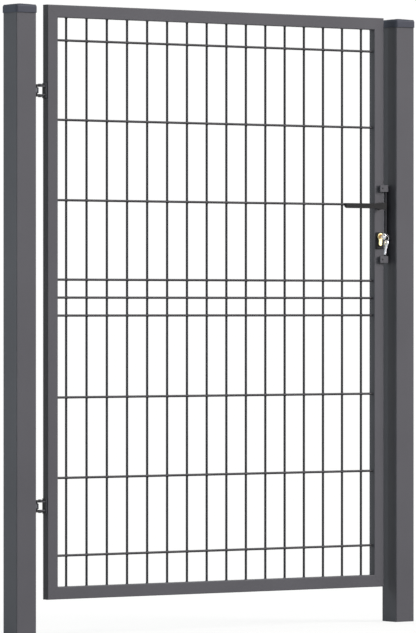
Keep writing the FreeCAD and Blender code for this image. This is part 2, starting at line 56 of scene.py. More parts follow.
def linear(code):  # sRGB hex to linear
    parts = [int(code[i:i + 2], 16) / 255 for i in (1, 3, 5)]
    return (*[c / 12.92 if c <= 0.04045 else ((c + 0.055) / 1.055) ** 2.4 for c in parts], 1)


def addNode(tree, kind, inputs=None, **settings):
    node = tree.nodes.new(kind)
    for name, value in settings.items():
        setattr(node, name, value)
    for name, value in (inputs or {}).items():
        if isinstance(value, bpy.types.NodeSocket):
            tree.links.new(value, node.inputs[name])
        else:
            node.inputs[name].default_value = value
    return node


def newMaterial(name, **sockets):  # an empty finish: its tree, its shader and the object coordinates
    material = bpy.data.materials.new(name)
    material.use_nodes = True
    tree = material.node_tree
    tree.nodes.clear()
    shader = addNode(tree, "ShaderNodeBsdfPrincipled")
    addNode(tree, "ShaderNodeOutputMaterial", {"Surface": shader.outputs[0]})
    for name, value in sockets.items():
        shader.inputs[name.replace("_", " ")].default_value = value
    place = addNode(tree, "ShaderNodeTexCoord").outputs["Object"]
    return material, tree, shader, place


def layFinish(tree, shader, settings, tint, texture, strength, spread=0.2):
    # the tint mixes the two shades, and the texture gives the gloss and the bump
    shade = addNode(
        tree, "ShaderNodeMix",
        {"Factor": tint, "A": linear(settings["dark"]), "B": linear(settings["light"])},
        data_type="RGBA",
    )
    tree.links.new(shade.outputs["Result"], shader.inputs["Base Color"])
    if "roughness" in settings:
        low, high = settings["roughness"]
        rough = addNode(tree, "ShaderNodeMapRange", {
            "Value": texture, "To Min": low, "To Max": high,
            "From Min": 0.5 - spread, "From Max": 0.5 + spread,
        })
        tree.links.new(rough.outputs[0], shader.inputs["Roughness"])
    bump = addNode(tree, "ShaderNodeBump", {
        "Height": texture, "Distance": settings["depth"] * mm, "Strength": strength,
    })
    tree.links.new(bump.outputs[0], shader.inputs["Normal"])
    return bump


# Polyester powder coat, baked on to zinc-coated steel: an even anthracite grey with a very
# fine orange peel, which softens the light without hiding the edges.
coat = {
    "dark": "#3b3b40",
    "light": "#434348",
    "cloud": 260,        # mm, slow drift of the shade along a tube
    "grain": 1.5,        # mm, the real peel is 0.4 and would not show
    "depth": 0.035,      # mm, of the peel
    "roughness": (0.42, 0.54),
}


def makeCoat(name, settings, ripple=None):
    material, tree, shader, place = newMaterial(name, Specular_IOR_Level=0.3)
    cloud = addNode(tree, "ShaderNodeTexNoise", {
        "Vector": place, "Scale": metre / settings["cloud"], "Detail": 3.0,
    })
    grain = addNode(tree, "ShaderNodeTexNoise", {
        "Vector": place, "Scale": metre / settings["grain"], "Detail": 4.0, "Roughness": 0.6,
    })
    both = addNode(
        tree, "ShaderNodeMath", {0: cloud.outputs["Fac"], 1: grain.outputs["Fac"]}, operation="ADD",
    )
    tint = addNode(tree, "ShaderNodeMapRange", {"Value": both.outputs[0], "From Min": 0.7, "From Max": 1.3})
    peel = layFinish(tree, shader, settings, tint.outputs[0], grain.outputs["Fac"], 1.0, spread=0.15)
    if ripple:  # the frozen ripples of a weld bead, seen through the coat
        waves = addNode(tree, "ShaderNodeTexNoise", {
            "Vector": place, "Scale": metre / ripple, "Detail": 1.0, "Distortion": 1.2,
        })
        bump = addNode(tree, "ShaderNodeBump", {
            "Height": waves.outputs["Fac"], "Normal": peel.outputs[0],
            "Distance": 0.5 * mm, "Strength": 0.7,
        })
        tree.links.new(bump.outputs[0], shader.inputs["Normal"])
    return material


powderCoat = makeCoat("powderCoatedSteel", coat)
coatedWeld = makeCoat("powderCoatedWeld", coat, ripple=1.6)

# The same coat painted darker, for small stock, the drawn wire and the hinge's strap: painted shade
# that stands in for the shade on these thin parts, whose real coat is the same as on the tubes.
shadedCoat = dict(coat, dark="#1c1c20", light="#232327")
paintedShadeCoat = makeCoat("powderCoatWithPaintedShade", shadedCoat)

# Injection-moulded polypropylene, a little bluer and flatter than the coat, with a spark-eroded grain.
capPlastic = {
    "dark": "#30333d",
    "light": "#383b46",
    "grain": 1.2,        # mm, coarser than the real 0.2 so that it shows
    "flow": 40,          # mm, the slow drift that the melt leaves
    "depth": 0.03,
}
polypropylene, tree, shader, place = newMaterial(
    "mouldedPolypropylene", Roughness=0.6, Specular_IOR_Level=0.25,
)
grain = addNode(tree, "ShaderNodeTexVoronoi", {"Vector": place, "Scale": metre / capPlastic["grain"]})
flow = addNode(tree, "ShaderNodeTexNoise", {
    "Vector": place, "Scale": metre / capPlastic["flow"], "Detail": 2.0,
})
layFinish(tree, shader, capPlastic, flow.outputs["Fac"], grain.outputs["Distance"], 0.8)

# Metals: one recipe, because each is a stock metal whose look is its colour, its polish and the
# direction of its fine scratches. "scratch" is their width in mm, and a "stretch" above 1 draws
# them out along z.
stain = 9   # mm, the slow change of shade on every metal
metals = {
    "zincPlatedSteel": {
        "dark": "#4c4e52", "light": "#606266",
        "roughness": (0.34, 0.5), "scratch": 0.8, "stretch": 1, "depth": 0.02,
    },
    "brushedSteel": {
        "dark": "#44464a", "light": "#55575b",
        "roughness": (0.36, 0.5), "scratch": 0.35, "stretch": 30, "depth": 0.015,
    },
    "satinBrass": {
        "dark": "#f0dfa0", "light": "#faf0c4",
        "roughness": (0.38, 0.5), "scratch": 0.4, "stretch": 1, "depth": 0.01,
    },
    "darkBrass": {
        "dark": "#c08f4e", "light": "#dcb277",
        "roughness": (0.32, 0.45), "scratch": 0.4, "stretch": 1, "depth": 0.01,
    },
    "nickelSilver": {
        "dark": "#eaeaf0", "light": "#f8f8fc",
        "roughness": (0.38, 0.5), "scratch": 0.5, "stretch": 1, "depth": 0.01,
    },
}


def makeMetal(name):
    settings = metals[name]
    material, tree, shader, place = newMaterial(name, Metallic=1.0)
    drawn = addNode(tree, "ShaderNodeMapping", {"Vector": place, "Scale": (1, 1, 1 / settings["stretch"])})
    scratch = addNode(tree, "ShaderNodeTexNoise", {
        "Vector": drawn.outputs[0], "Scale": metre / settings["scratch"], "Detail": 3.0,
    })
    tint = addNode(tree, "ShaderNodeTexNoise", {"Vector": place, "Scale": metre / stain, "Detail": 3.0})
    layFinish(tree, shader, settings, tint.outputs["Fac"], scratch.outputs["Fac"], 0.6)
    return material


zinc, steel, brass, plugBrass, nickel = [makeMetal(name) for name in metals]

# Dark finishes without metal: the glass-filled nylon plates, the lever's satin black lacquer and
# the rubber of the buffers. They differ in how dark, how glossy and how grainy they are.
darks = {
    "blackNylon": {
        "dark": "#0e0e10", "light": "#141416", "roughness": (0.42, 0.55), "grain": 0.9, "depth": 0.03,
    },
    "blackLacquer": {
        "dark": "#0d0e0f", "light": "#131415", "roughness": (0.34, 0.44), "grain": 1.3, "depth": 0.015,
    },
    "buffersRubber": {
        "dark": "#141415", "light": "#1d1d1e", "roughness": (0.7, 0.85), "grain": 0.6, "depth": 0.03,
    },
}


def makeDark(name):
    settings = darks[name]
    material, tree, shader, place = newMaterial(name, Specular_IOR_Level=0.16)
    grain = addNode(tree, "ShaderNodeTexNoise", {
        "Vector": place, "Scale": metre / settings["grain"], "Detail": 3.0,
    })
    layFinish(tree, shader, settings, grain.outputs["Fac"], grain.outputs["Fac"], 0.8)
    return material


nylon, lacquer, rubber = [makeDark(name) for name in darks]
print("materials made:", len(bpy.data.materials))

finishOf = {
    "powder_coat": powderCoat,
    "cap_plastic": polypropylene,
    "zinc_plate": zinc,
    "lock_steel": steel,
    "black_plastic": nylon,
    "black_coat": lacquer,
    "brass": brass,
    "nickel_plate": nickel,
    "rubber": rubber,
}
for part in frame["record"]["subparts"]:
    node = frame["nodes"][part["node"]]
    finish = plugBrass if part["node"] == "lock_plug" else finishOf[part["material_slot"]]
    node.data.materials.clear()
    node.data.materials.append(finish)
print("finishes given to the frame's nodes")


def letGo():  # object mode, with nothing selected
    if bpy.context.object and bpy.context.object.mode != "OBJECT":
        bpy.ops.object.mode_set(mode="OBJECT")
    bpy.ops.object.select_all(action="DESELECT")


def pick(first, *others):
    letGo()
    for piece in (first, *others):
        piece.select_set(True)
    bpy.context.view_layer.objects.active = first
    return first


def named(name):  # settles a new primitive: its place and size go into its mesh
    piece = bpy.context.object
    piece.name = piece.data.name = name
    bpy.ops.object.transform_apply(location=True, rotation=True, scale=True)
    return piece


def addBlock(name, low, high):
    letGo()
    middle = [(a + b) / 2 * mm for a, b in zip(low, high)]
    size = [(b - a) * mm for a, b in zip(low, high)]
    bpy.ops.mesh.primitive_cube_add(size=1, location=middle, scale=size)
    return named(name)


turned = {"x": (0, math.pi / 2, 0), "y": (math.pi / 2, 0, 0), "z": (0, 0, 0)}


def addRound(name, axis, radius, middle, length, sides=32, endRadius=None):
    letGo()
    top = radius if endRadius is None else endRadius
    bpy.ops.mesh.primitive_cone_add(
        vertices=sides, radius1=radius * mm, radius2=top * mm, depth=length * mm,
        location=[c * mm for c in middle], rotation=turned[axis],
    )
    return named(name)


def choose(piece, kind, test):  # edit mode, then selects the parts whose middle, in mm, passes the test
    pick(piece)
    bpy.ops.object.mode_set(mode="EDIT")
    bpy.ops.mesh.select_mode(type=kind)
    bpy.ops.mesh.select_all(action="DESELECT")
    mesh = bmesh.from_edit_mesh(piece.data)
    parts = {"VERT": mesh.verts, "EDGE": mesh.edges, "FACE": mesh.faces}[kind]
    for part in parts:
        if kind == "VERT":
            middle = part.co
        elif kind == "EDGE":
            middle = (part.verts[0].co + part.verts[1].co) / 2
        else:
            middle = part.calc_center_median()
        if test(middle / mm, part):
            part.select_set(True)
    mesh.select_flush_mode()
    bmesh.update_edit_mesh(piece.data)


def runs(edge, axis):  # is the edge parallel to that axis
    way = (edge.verts[1].co - edge.verts[0].co).normalized()
    return abs(way["xyz".index(axis)]) > 0.98


def change(piece, kind, **settings):
    pick(piece)
    modifier = piece.modifiers.new(kind.lower(), kind)
    for name, value in settings.items():
        setattr(modifier, name, value)
    bpy.ops.object.modifier_apply(modifier=modifier.name)


def carve(piece, cutter, operation="DIFFERENCE"):
    change(piece, "BOOLEAN", object=cutter, operation=operation, solver="EXACT")
    bpy.data.objects.remove(cutter)


def copyOf(piece, offset=(0, 0, 0)):
    copy = piece.copy()
    copy.data = piece.data.copy()
    bpy.context.scene.collection.objects.link(copy)
    copy.location = [c * mm for c in offset]
    return copy


def join(name, *pieces):
    whole = pick(*pieces)
    bpy.ops.object.join()
    whole.name = whole.data.name = name
    return whole


def spinInPlace(piece, angle, axis, centre):  # the angle is in radians and the centre in mm
    pick(piece)
    bpy.ops.transform.rotate(value=angle, orient_axis=axis, center_override=[c * mm for c in centre])
    bpy.ops.object.transform_apply(location=True, rotation=True, scale=True)


def soften(piece, width, segments=2, angle=30):
    change(piece, "BEVEL", width=width * mm, segments=segments, limit_method="ANGLE",
           angle_limit=math.radians(angle), harden_normals=False)


def finished(piece, body, finish, standsFor=(), smooth=34):
    pick(piece)
    bpy.ops.object.transform_apply(location=True, rotation=True, scale=True)
    bpy.ops.object.mode_set(mode="EDIT")
    bpy.ops.mesh.select_all(action="SELECT")
    bpy.ops.mesh.remove_doubles(threshold=1e-6)
    bpy.ops.mesh.normals_make_consistent(inside=False)
    bpy.ops.object.mode_set(mode="OBJECT")
    bpy.ops.object.shade_smooth_by_angle(angle=math.radians(smooth))
    change(piece, "WEIGHTED_NORMAL", keep_sharp=True, weight=75)  # flats stay flat beside their soft edges
    piece.data.materials.clear()
    piece.data.materials.append(finish)
    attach(piece, body)
    if standsFor:
        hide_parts(*standsFor)
    return piece


# Post caps: a moulded lid whose skirt covers the tube's end, with soft edges and a slight crown.
caps = {
    "width": 65,
    "skirt": 20,
    "lid": 3,
    "top": 1580,
    "crown": 3.6,       # how much the middle stands above the rim
    "rings": ((0.8, 0.45), (0.65, 0.3), (0.4, 0.25)),   # towards the middle: size, share of the crown
    "corner": 7,
    "edgeRound": 5,
    "lowerEdge": 0.4,
    "wall": 2.3,
    "seat": 0.4,        # how far the tube's end reaches into the lid, so that no gap shows
    "places": {"hingePostCap": (0, "hinge_post_cap"), "latchPostCap": (1196, "latch_post_cap")},
}


def makeCap(name, x, node):
    half = caps["width"] / 2
    bottom = caps["top"] - caps["skirt"] - caps["lid"]
    rim = caps["top"] - caps["crown"]
    cap = addBlock(name, (x - half, -half, bottom), (x + half, half, rim))
    choose(cap, "EDGE", lambda c, e: runs(e, "z"))
    bpy.ops.mesh.bevel(offset=caps["corner"] * mm, segments=5)
    choose(cap, "EDGE", lambda c, e: c.z > rim - near and not runs(e, "z"))
    bpy.ops.mesh.bevel(offset=caps["edgeRound"] * mm, segments=6)
    choose(cap, "FACE", lambda c, f: f.normal.z > 0.99 and c.z > rim - near)
    for size, share in caps["rings"]:
        rise = caps["crown"] * share
        bpy.ops.mesh.extrude_region_move(TRANSFORM_OT_translate={"value": (0, 0, rise * mm)})
        bpy.ops.transform.resize(value=(size, size, 1), center_override=(x * mm, 0, rim * mm))
    choose(cap, "FACE", lambda c, f: f.normal.z < -0.9)
    bpy.ops.mesh.inset(thickness=caps["wall"] * mm)
    deep = caps["skirt"] - caps["seat"]
    bpy.ops.mesh.extrude_region_move(TRANSFORM_OT_translate={"value": (0, 0, deep * mm)})
    choose(cap, "EDGE", lambda c, e: abs(c.z - bottom) < near)
    bpy.ops.mesh.bevel(offset=caps["lowerEdge"] * mm, segments=2)
    finished(cap, "posts", polypropylene, [node], smooth=40)


for name, (x, node) in caps["places"].items():
    makeCap(name, x, node)
print("post caps made")


# Welded wire panel: upright wires behind, rows in front, a squeezed spot of weld at each
# crossing and a small collar where each wire meets the frame.
panel = {
    "wire": 6.1,                      # with its coat
    "sides": {"wire": 18, "spot": 10, "collar": 14},
    "sink": 0.6,                      # how deep the wires are pressed into each other
    "uprights": 16,
    "firstUpright": 34,               # from the frame's inner face
    "rows": (201.9, 396.4, 597.9, 802.9, 847.9, 892.9, 1091.9, 1292.9, 1491.9),
    "spot": (4.3, 1.4, 4.3),          # half its size along x, y and z
    "spotEdge": 0.35,                 # its rim's round, before it is stretched to that size
    "collar": (4.5, 3.15, 1.7),       # radius at the frame, radius at the wire, length
}


def makeWirePanel():
    low, high = [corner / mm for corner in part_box("mesh_panel")]
    offset = (panel["wire"] - panel["sink"]) / 2
    radius = panel["wire"] / 2
    width, height = high.x - low.x, high.z - low.z
    middleX, middleZ = (low.x + high.x) / 2, (low.z + high.z) / 2
    step = (width - 2 * panel["firstUpright"]) / (panel["uprights"] - 1)
    columns = [low.x + panel["firstUpright"] + step * i for i in range(panel["uprights"])]
    sides = panel["sides"]
    upright = addRound("upright", "z", radius, (0, offset, middleZ), height, sides["wire"])
    row = addRound("row", "x", radius, (middleX, -offset, 0), width, sides["wire"])
    spot = addRound("spot", "y", 1, (0, 0, 0), 1, sides["spot"])
    choose(spot, "EDGE", lambda c, e: not runs(e, "y"))
    bpy.ops.mesh.bevel(offset=panel["spotEdge"] * mm, segments=2)
    pick(spot)
    bpy.ops.transform.resize(value=(panel["spot"][0], panel["spot"][1] * 2, panel["spot"][2]))
    bpy.ops.object.transform_apply(location=True, rotation=True, scale=True)
    wide, narrow, long = panel["collar"]
    around = sides["collar"]
    collars = {
        "bottom": addRound("collar", "z", wide, (0, offset, low.z + long / 2), long, around, narrow),
        "top": addRound("collar", "z", narrow, (0, offset, high.z - long / 2), long, around, wide),
        "left": addRound("collar", "x", wide, (low.x + long / 2, -offset, 0), long, around, narrow),
        "right": addRound("collar", "x", narrow, (high.x - long / 2, -offset, 0), long, around, wide),
    }
    wires, welds = [], []
    for x in columns:
        wires.append(copyOf(upright, (x, 0, 0)))
        welds += [copyOf(collars[end], (x, 0, 0)) for end in ("bottom", "top")]
    for z in panel["rows"]:
        wires.append(copyOf(row, (0, 0, z)))
        welds += [copyOf(collars[end], (0, 0, z)) for end in ("left", "right")]
        welds += [copyOf(spot, (x, 0, z)) for x in columns]
    for template in (upright, row, spot, *collars.values()):
        bpy.data.objects.remove(template)
    # the wires take the darker coat: painted shade
    finished(join("wirePanel", *wires), "leaf", paintedShadeCoat, ["mesh_panel"])
    finished(join("wireWelds", *welds), "leaf", coatedWeld, smooth=60)


makeWirePanel()
print("wire panel made")


def softened(node, name, finish, width, segments=2, smooth=34):  # a copy of the node's mesh with worn edges
    source = frame["nodes"][node]
    piece = bpy.data.objects.new(name, source.data.copy())
    bpy.context.scene.collection.objects.link(piece)
    pick(piece)
    bpy.ops.object.mode_set(mode="EDIT")
    bpy.ops.mesh.select_all(action="SELECT")
    bpy.ops.mesh.remove_doubles(threshold=1e-5)
    bpy.ops.mesh.dissolve_limited(angle_limit=math.radians(0.6))
    bpy.ops.object.mode_set(mode="OBJECT")
    soften(piece, width, segments, angle=38)
    body = next(b for b, names in frame["record"]["behaviour"]["bodies"].items() if node in names)
    return finished(piece, body, finish, [node], smooth)


def addBead(name, points, radius, pitch):  # a weld's row of frozen ripples along a line of points
    beads = []
    for start, end in zip(points, points[1:]):
        start, end = Vector(start), Vector(end)
        count = max(2, round((end - start).length / pitch))
        for i in range(count):
            place = start.lerp(end, (i + 0.5) / count)
            letGo()
            bpy.ops.mesh.primitive_uv_sphere_add(
                segments=8, ring_count=6, radius=radius * mm, location=place * mm,
            )
            bpy.ops.transform.resize(value=(1, 1, 0.94 + 0.12 * (i % 2)))  # every other ripple is taller
            beads.append(named("bead"))
    return join(name, *beads)


# Hinges. Each clevis is a strap bent round both ends of a bracket, on a threaded stud with two
# hexagon nuts outside the strap and a thin square one inside it.
hinge = {
    "heights": {"upper": 1365, "lower": 327},
    "axis": 60.6,
    "strap": (47, 3, 12, 31),     # outer face, thickness, width, height
    "strapEdge": 0.45,
    "bend": (3, 1.2),             # outside and inside
    "stud": (18, 52.8, 5.05),     # start, end, core radius
    "studEdge": 0.6,
    "thread": (1.75, 1.0),        # M12: pitch, height of the ridge
    "threadEnds": (1, 0.4),       # how far it stops short of the stud's start and end
    "nuts": ((30, 5, 6), (39, 8, 6), (50, 2.3, 4)),   # left face, thickness, sides
    "flats": {6: 18, 4: 14.5},
    "chamfer": {6: -0.3, 4: 1.6},  # where it starts on a nut's face, past half the flats
    "chamferSlope": 0.577,        # 30 degrees
    "bore": 5.6,
    "nutEdge": 0.3,
    "pad": 73,                    # the bracket's pad starts here
    "throat": 21,                 # between the bracket's arms; the pad's faces within it get painted shade
    "padWeld": (76.3, 7.6, 19.2),  # its line: x, half its width, height above the hinge's middle
    "bead": (1.3, 1.1),           # radius and pitch
}


def makeClevis(place, height):
    left, thick, width, tall = hinge["strap"]
    right = hinge["axis"] + width / 2
    low, high = height - tall / 2, height + tall / 2
    strap = addBlock(place + "Clevis", (left, -width / 2, low), (right, width / 2, high))
    choose(strap, "EDGE", lambda c, e: runs(e, "z") and c.x > right - near)
    bpy.ops.mesh.bevel(offset=(width / 2 - 0.1) * mm, segments=9)  # arms that end in half rounds
    choose(strap, "EDGE", lambda c, e: runs(e, "y") and c.x < left + near)
    bpy.ops.mesh.bevel(offset=hinge["bend"][0] * mm, segments=6)
    past = 5   # mm, so that the throat is cut right through the arms' ends
    throat = addBlock("throat", (left + thick, -width, low + thick), (right + past, width, high - thick))
    choose(throat, "EDGE", lambda c, e: runs(e, "y") and c.x < left + thick + near)
    bpy.ops.mesh.bevel(offset=hinge["bend"][1] * mm, segments=4)
    carve(strap, throat)
    soften(strap, hinge["strapEdge"], angle=40)
    start, end, core = hinge["stud"]
    shaft = addRound("shaft", "x", core, ((start + end) / 2, 0, height), end - start)
    soften(shaft, hinge["studEdge"], segments=1, angle=60)
    pitch, ridge = hinge["thread"]
    first, last = hinge["threadEnds"]
    letGo()
    bpy.ops.mesh.primitive_circle_add(
        vertices=3, radius=ridge * mm, location=((start + first) * mm, 0, height * mm),
    )
    thread = bpy.context.object
    choose(thread, "VERT", lambda c, v: True)
    bpy.ops.transform.translate(value=(0, (core - 0.05) * mm, 0))  # sunk a little into the core
    turns = round((end - start - first - last) / pitch)
    change(thread, "SCREW", axis="X", angle=2 * math.pi, screw_offset=pitch * mm,
           iterations=turns, steps=20, render_steps=20)
    clevis = join(place + "Clevis", strap, shaft, thread)
    # the strap takes the darker coat: painted shade
    finished(clevis, "posts", paintedShadeCoat, [place + "_hinge_clevis"], smooth=32)


def makeNuts(place, height):
    nuts = []
    for left, thick, sides in hinge["nuts"]:
        middle = (left + thick / 2, 0, height)
        half = hinge["flats"][sides] / 2
        nut = addRound("nut", "x", half / math.cos(math.pi / sides), middle, thick, sides)
        spinInPlace(nut, math.pi / sides, "X", middle)
        narrow = half + hinge["chamfer"][sides]
        wide = narrow + thick / hinge["chamferSlope"]
        carve(nut, addRound("cone", "x", narrow, middle, thick + 0.01, 48, wide), "INTERSECT")
        carve(nut, addRound("cone", "x", wide, middle, thick + 0.01, 48, narrow), "INTERSECT")
        carve(nut, addRound("bore", "x", hinge["bore"], middle, thick + 4))
        soften(nut, hinge["nutEdge"], segments=1, angle=40)
        nuts.append(nut)
    nuts = join(place + "HingeNuts", *nuts)
    finished(nuts, "posts", zinc, [place + "_hinge_nuts"])


def makeBracket(place, height):
    bracket = softened(place + "_hinge_bracket", place + "Bracket", powderCoat, 0.6)
    # the pad's faces in the throat between the arms get the darker coat: painted shade in the recess
    bracket.data.materials.append(paintedShadeCoat)
    for face in bracket.data.polygons:
        x, y, z = face.center / mm
        if x < hinge["pad"] + near and abs(z - height) < hinge["throat"] / 2:
            face.material_index = 1
    x, half, rise = hinge["padWeld"]
    above, under = [
        addBead("bead", [(x, -half, z), (x, half, z)], *hinge["bead"])
        for z in (height + rise, height - rise)
    ]
    weld = join(place + "BracketWeldTop", above, under)
    finished(weld, "leaf", coatedWeld, smooth=60)


for place, height in hinge["heights"].items():
    makeClevis(place, height)
    makeNuts(place, height)
    makeBracket(place, height)
print("hinges made")


# Leaf frame: the tubes are the frame's own nodes. The mitres are welded and ground on the faces,
# and a bead is left in each inner corner.
frameWelds = {
    "leaf": (77, 1140, 93, 1580),     # left, right, bottom, top
    "face": 31,
    "depth": 22,
    "seam": (1.7, 0.16),              # half width and rise of the ground seam
    "seamShort": 4,                   # how much shorter it is than the mitre, whose ends are round
    "corner": (1.9, 1.5),             # radius and pitch of the bead in the inner corners
    "cornerOut": 0.5,                 # the bead's middle stands this far out of the corner
    "cornerShort": 3,                 # and it stops this far from the tube's faces
}


def makeFrameWelds():
    left, right, bottom, top = frameWelds["leaf"]
    face, half = frameWelds["face"], frameWelds["depth"] / 2
    wide, rise = frameWelds["seam"]
    seams, beads = [], []
    for x, inX in ((left, 1), (right, -1)):
        for z, inZ in ((bottom, 1), (top, -1)):
            length = face * math.sqrt(2) - frameWelds["seamShort"]
            middle = Vector((x + inX * face / 2, 0, z + inZ * face / 2))
            seam = addBlock("seam", (-length / 2, -half - rise, -wide), (length / 2, half + rise, wide))
            choose(seam, "EDGE", lambda c, e: runs(e, "x"))
            bpy.ops.mesh.bevel(offset=rise * 0.9 * mm, segments=1)
            letGo()
            seam.rotation_euler = (0, -inX * inZ * math.pi / 4, 0)
            seam.location = middle * mm
            seams.append(seam)
            away = face + frameWelds["cornerOut"]
            reach = half - frameWelds["cornerShort"]
            line = [(x + inX * away, y, z + inZ * away) for y in (-reach, reach)]
            beads.append(addBead("corner", line, *frameWelds["corner"]))
    finished(join("mitreSeams", *seams), "leaf", powderCoat)
    finished(join("cornerWelds", *beads), "leaf", coatedWeld, smooth=60)


makeFrameWelds()
print("frame welds made")


# Keep: the folded plate with its two ears, and the stitches of weld that hold its flange to the post.
keep = {
    "post": 1165.6,              # x of the weld's line, on the post
    "back": 14.2,                # and its y, behind the flange
    "stitches": ((944, 974), (1026, 1056), (1109, 1139)),
    "bead": (1.5, 1.3),          # radius and pitch
}
softened("latch_keep", "keepPlate", powderCoat, 0.5)
stitches = [
    addBead("stitch", [(keep["post"], keep["back"], z) for z in ends], *keep["bead"])
    for ends in keep["stitches"]
]
finished(join("keepWelds", *stitches), "posts", coatedWeld, smooth=60)
softened("keep_buffers", "buffers", rubber, 0.7, segments=3)
print("keep made")


# Lever: a flat bar with soft rims, a deep round under its tip and a hub that swells round the neck.
lever = {
    "axis": (1125, 1088),
    "tip": 996,
    "front": -36.5,
    "back": -27.5,
    "grip": 13,
    "hub": 18,
    "hubEnd": 5.5,               # past the axis
    "hubRound": 5,
    "taper": (1093, 1113),
    "tipRounds": (9.5, 3.6),     # under and over
    "rim": 2.5,
    "neck": (6.5, -29, -11.3),   # radius, from, to
    "flare": (8.3, 3.2, 0.8),    # where the neck meets the bar: radius, length, its middle behind the bar
    "grubScrew": (2.1, -23, 0.4, 1.2),   # radius, y, how far it stands out of the neck, length
    "socket": 1.1,
}


def makeLever():
    x, z = lever["axis"]
    half = lever["grip"] / 2
    end = x + lever["hubEnd"]
    bar = addBlock("lever", (lever["tip"], lever["front"], z - half), (end, lever["back"], z + half))
    for cut in (*lever["taper"], sum(lever["taper"]) / 2):
        choose(bar, "FACE", lambda c, f: True)
        bpy.ops.mesh.bisect(plane_co=(cut * mm, 0, 0), plane_no=(1, 0, 0))
    grow = lever["hub"] / lever["grip"]
    start, stop = lever["taper"]
    for low, high, size in ((stop - near, end + near, grow), (start + near, stop - near, (1 + grow) / 2)):
        choose(bar, "VERT", lambda c, v: low < c.x < high)
        bpy.ops.transform.resize(value=(1, 1, size), center_override=(x * mm, 0, z * mm))
    choose(bar, "EDGE", lambda c, e: runs(e, "y") and c.x > end - near)
    bpy.ops.mesh.bevel(offset=lever["hubRound"] * mm, segments=8)
    under, over = lever["tipRounds"]
    choose(bar, "EDGE", lambda c, e: runs(e, "y") and c.x < lever["tip"] + near and c.z < z)
    bpy.ops.mesh.bevel(offset=under * mm, segments=9)
    choose(bar, "EDGE", lambda c, e: runs(e, "y") and c.x < lever["tip"] + near and c.z > z)
    bpy.ops.mesh.bevel(offset=over * mm, segments=5)
    soften(bar, lever["rim"], segments=4, angle=42)
    radius, start, stop = lever["neck"]
    neck = addRound("neck", "y", radius, (x, (start + stop) / 2, z), stop - start, 40)
    wide, long, behind = lever["flare"]
    flare = addRound("flare", "y", radius, (x, lever["back"] + behind, z), long, 40, wide)
    size, y, out, long = lever["grubScrew"]
    tip = z - radius - out
    screw = addRound("screw", "z", size, (x, y, tip + long / 2), long, 24)
    # the socket goes half the screw's length deep
    carve(screw, addRound("socket", "z", lever["socket"], (x, y, tip), long, 6))
    handle = join("lever", bar, neck, flare, screw)
    finished(handle, "lever", lacquer, ["lever_handle"])


makeLever()
print("lever made")


# Lock: the faceplate with its two screws, the escutcheons, the cylinder and its plug.
lock = {
    "face": 1142.5,
    "screws": (959, 1139),
    "head": (4.1, 3.2, 0.9, 0.2),   # radius at its foot and at its top, rise, how far it is sunk
    "headEdge": 0.2,
    "cross": (4.6, 0.9, 0.7),       # length, width, depth
}
softened("lock_faceplate", "faceplate", steel, 0.35)
softened("lock_cylinder", "cylinder", brass, 0.35)
softened("lock_plug", "plug", plugBrass, 0.3)
softened("front_escutcheon", "frontEscutcheon", nylon, 0.3)
softened("back_escutcheon", "backEscutcheon", nylon, 0.3)
screws = []
for z in lock["screws"]:
    wide, narrow, rise, sunk = lock["head"]
    top = lock["face"] + rise
    middle = (top - (rise + sunk) / 2, 0, z)
    screw = addRound("screw", "x", wide, middle, rise + sunk, endRadius=narrow)
    soften(screw, lock["headEdge"], angle=20)
    long, thin, deep = lock["cross"]
    for y, up in ((long / 2, thin / 2), (thin / 2, long / 2)):
        carve(screw, addBlock("slot", (top - deep, -y, z - up), (top + 1, y, z + up)))
    screws.append(screw)
finished(join("faceplateScrews", *screws), "leaf", steel)
print("lock made")


# Keys: two flat keys with milled grooves on a sprung ring of two turns.
keys = {
    "edge": 0.28,
    "groove": (1.1, 0.45),           # width and depth
    "grooveAside": 1,                # how far a groove's middle is from the blade's
    "grooveEnds": (3, 2),            # how far it runs into the shoulder and stops short of the tip
    "half": 1,                       # half a key's thickness
    "plug": (1125, 1009),
    "blade": (-18.3, 0.2),           # y of its shoulder and its tip
    "ring": (1130.09, -34.7, 1003.91),
    "ringSize": (7.2, 0.29, 0.57),   # radius, wire radius, step to the second turn
    "hang": (1130.09, -34.7, 993.6),  # where the spare key's hole hangs
    "spareBlade": (978.2, 959.8),    # z of its shoulder and its tip
    "tilt": -9,
}


def makeKeys():
    wide, deep = keys["groove"]
    into, short = keys["grooveEnds"]
    key = softened("key", "key", nickel, keys["edge"])
    x, z = keys["plug"]
    shoulder, tip = keys["blade"]
    for side in (-1, 1):
        face, middle = x + side * keys["half"], z + side * keys["grooveAside"]
        low = (face - deep, shoulder - into, middle - wide / 2)
        high = (face + deep, tip - short, middle + wide / 2)
        carve(key, addBlock("groove", low, high))
    spare = softened("spare_key", "spareKey", nickel, keys["edge"])
    x, y, z = keys["hang"]
    shoulder, tip = keys["spareBlade"]
    for side in (-1, 1):
        face, middle = x + side * keys["half"], y + side * keys["grooveAside"]
        low = (face - deep, middle - wide / 2, tip + short)
        high = (face + deep, middle + wide / 2, shoulder + into)
        carve(spare, addBlock("groove", low, high))
    spinInPlace(spare, math.radians(keys["tilt"]), "Y", keys["hang"])
    radius, wire, step = keys["ringSize"]
    letGo()
    x, y, z = keys["ring"]
    bpy.ops.mesh.primitive_circle_add(
        vertices=10, radius=wire * mm, location=(x * mm, (y - step / 2) * mm, z * mm),
    )
    ring = bpy.context.object
    ring.name = ring.data.name = "splitRing"
    choose(ring, "VERT", lambda c, v: True)
    bpy.ops.transform.translate(value=(radius * mm, 0, 0))
    change(ring, "SCREW", axis="Y", angle=2 * math.pi, screw_offset=step * mm,
           iterations=2, steps=44, render_steps=44)
    finished(ring, "leaf", nickel, ["key_ring"], smooth=50)


makeKeys()
print("keys made")


